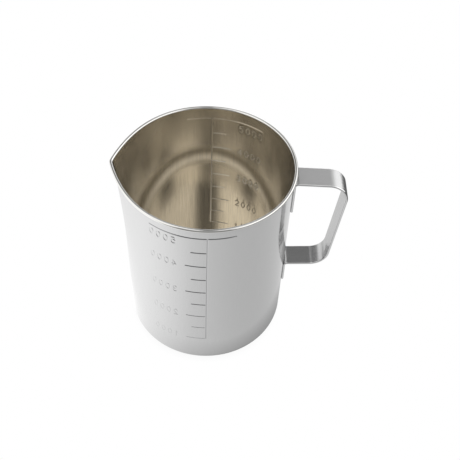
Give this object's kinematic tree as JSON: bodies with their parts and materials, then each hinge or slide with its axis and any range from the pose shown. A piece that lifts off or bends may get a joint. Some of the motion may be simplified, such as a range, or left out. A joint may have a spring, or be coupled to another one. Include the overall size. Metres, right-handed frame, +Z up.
{
  "type": "candle melting pot",
  "caption": "Tall one-piece steel pouring pot with a V spout, a small lip rolled outward, two stamped volume scales and a bent flat-strap handle spot-welded to the wall.",
  "frame": {"origin": "centre of the flat base on the resting plane", "axes": "+Z up through the open mouth, +X from the pot's axis towards the handle, -X towards the spout, +Y completes the right-handed frame"},
  "size_m": [0.2432, 0.1812, 0.23],
  "materials": {
    "drawn_steel": "deep-drawn stainless sheet, polished satin outside, finer satin inside with faint drawing marks, bright polished lip",
    "strap_steel": "bent stainless flat bar, brushed lengthwise, polished rounded edges",
    "weld_metal": "resistance spot-weld metal, dull"
  },
  "bodies": {
    "root": {"body_shell": "drawn_steel", "handle_strap": "strap_steel", "upper_spot_weld_1": "weld_metal", "upper_spot_weld_2": "weld_metal", "upper_spot_weld_3": "weld_metal", "upper_spot_weld_4": "weld_metal", "lower_spot_weld_1": "weld_metal", "lower_spot_weld_2": "weld_metal", "lower_spot_weld_3": "weld_metal", "lower_spot_weld_4": "weld_metal"}
  },
  "joints": []
}
